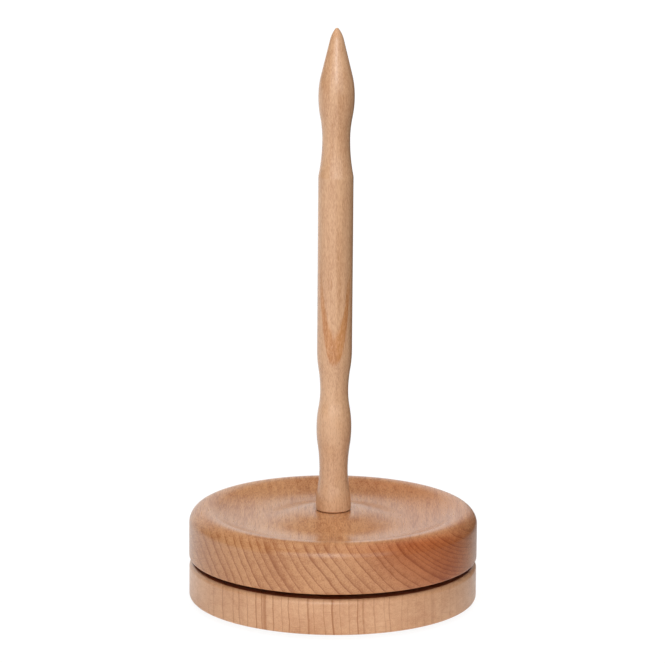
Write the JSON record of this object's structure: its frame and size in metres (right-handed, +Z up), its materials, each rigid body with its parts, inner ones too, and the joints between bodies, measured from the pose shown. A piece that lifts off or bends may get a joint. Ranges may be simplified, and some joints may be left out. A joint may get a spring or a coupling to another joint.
{
  "type": "yarn dispenser",
  "caption": "Round wooden yarn dispenser: a dished turntable with an upright turned spindle spins on a ball bearing in a matching round base.",
  "frame": {"origin": "on the turning axis, in the plane that the rubber feet stand on", "axes": "+Z up along the turning axis and the spindle; +X to the right and +Y away from the viewer of the picture; the object is round, so X and Y only place the feet, the screws and the balls"},
  "size_m": [0.14, 0.14, 0.2815],
  "materials": {
    "beech_base": "satin lacquer",
    "beech_turntable": "satin lacquer",
    "beech_spindle": "satin lacquer",
    "bearing_steel": "ground",
    "ball_steel": "polished",
    "cage_polymer": "moulded",
    "shield_steel": "pressed sheet",
    "zinc_steel": "zinc plated",
    "nylon": "moulded",
    "foot_rubber": "matte"
  },
  "bodies": {
    "stand": {"base_disc": "beech_base", "bearing_outer_ring": "bearing_steel", "bearing_upper_shield": "shield_steel", "bearing_lower_shield": "shield_steel", "foot_1": "foot_rubber", "foot_2": "foot_rubber", "foot_3": "foot_rubber", "foot_4": "foot_rubber"},
    "rotor": {"turntable": "beech_turntable", "pivot_plate": "zinc_steel", "pivot_stud": "zinc_steel", "plate_screws": "zinc_steel", "gap_spacer": "zinc_steel", "bearing_inner_ring": "bearing_steel", "shim_washer": "zinc_steel", "lock_nut": "zinc_steel", "nut_collar": "nylon"},
    "ball_train": {"bearing_cage": "cage_polymer", "bearing_balls": "ball_steel"},
    "peg": {"spindle": "beech_spindle"}
  },
  "joints": [
    {"name": "turntable_spin", "type": "hinge", "parent": "stand", "child": "rotor", "pos_m": [0, 0, 0.0161], "axis": [0, 0, 1], "continuous": true},
    {"name": "ball_orbit", "type": "hinge", "parent": "stand", "child": "ball_train", "pos_m": [0, 0, 0.0161], "axis": [0, 0, 1], "continuous": true},
    {"name": "spindle_lift", "type": "slide", "parent": "rotor", "child": "peg", "axis": [0, 0, 1], "range_m": [0, 0.02]}
  ],
  "couplings": [
    {"joint": "ball_orbit", "follows": "turntable_spin", "ratio": 0.3677}
  ]
}
